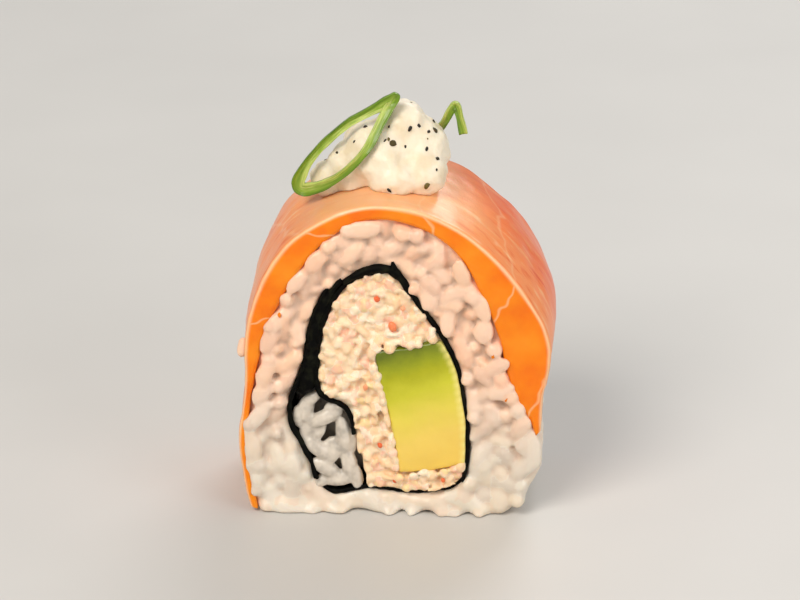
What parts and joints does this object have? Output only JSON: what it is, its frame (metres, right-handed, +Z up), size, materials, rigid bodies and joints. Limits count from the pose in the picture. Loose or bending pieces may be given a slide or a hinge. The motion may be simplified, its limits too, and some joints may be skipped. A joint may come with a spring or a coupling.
{
  "type": "uramaki roll slice",
  "caption": "Inside-out sushi roll slice: rice round nori, crab salad and avocado, topped with draped salmon, cream cheese and scallion.",
  "frame": {"origin": "on the flat base, under the middle of the slice", "axes": "+X right across the front cut face, +Y from the front cut face to the back one, +Z up"},
  "size_m": [0.0471, 0.0236, 0.0637],
  "materials": {
    "rice": "moist cooked grains, soft sheen",
    "trapped_rice": "moist cooked grains in shade, translucent",
    "nori": "damp pressed seaweed, near black",
    "crab_salad": "shredded and bound, moist",
    "avocado": "ripe flesh, green to yellow, oily sheen",
    "salmon": "raw slice, wet gloss",
    "cream_cheese": "soft cheese with cracked pepper",
    "scallion": "fresh green leaf strips"
  },
  "bodies": {
    "root": {"outer_rice": "rice", "trapped_rice": "trapped_rice", "nori": "nori", "crab_salad": "crab_salad", "avocado": "avocado", "salmon": "salmon", "cream_cheese": "cream_cheese", "scallion_ring": "scallion", "scallion_curl": "scallion"}
  },
  "joints": []
}
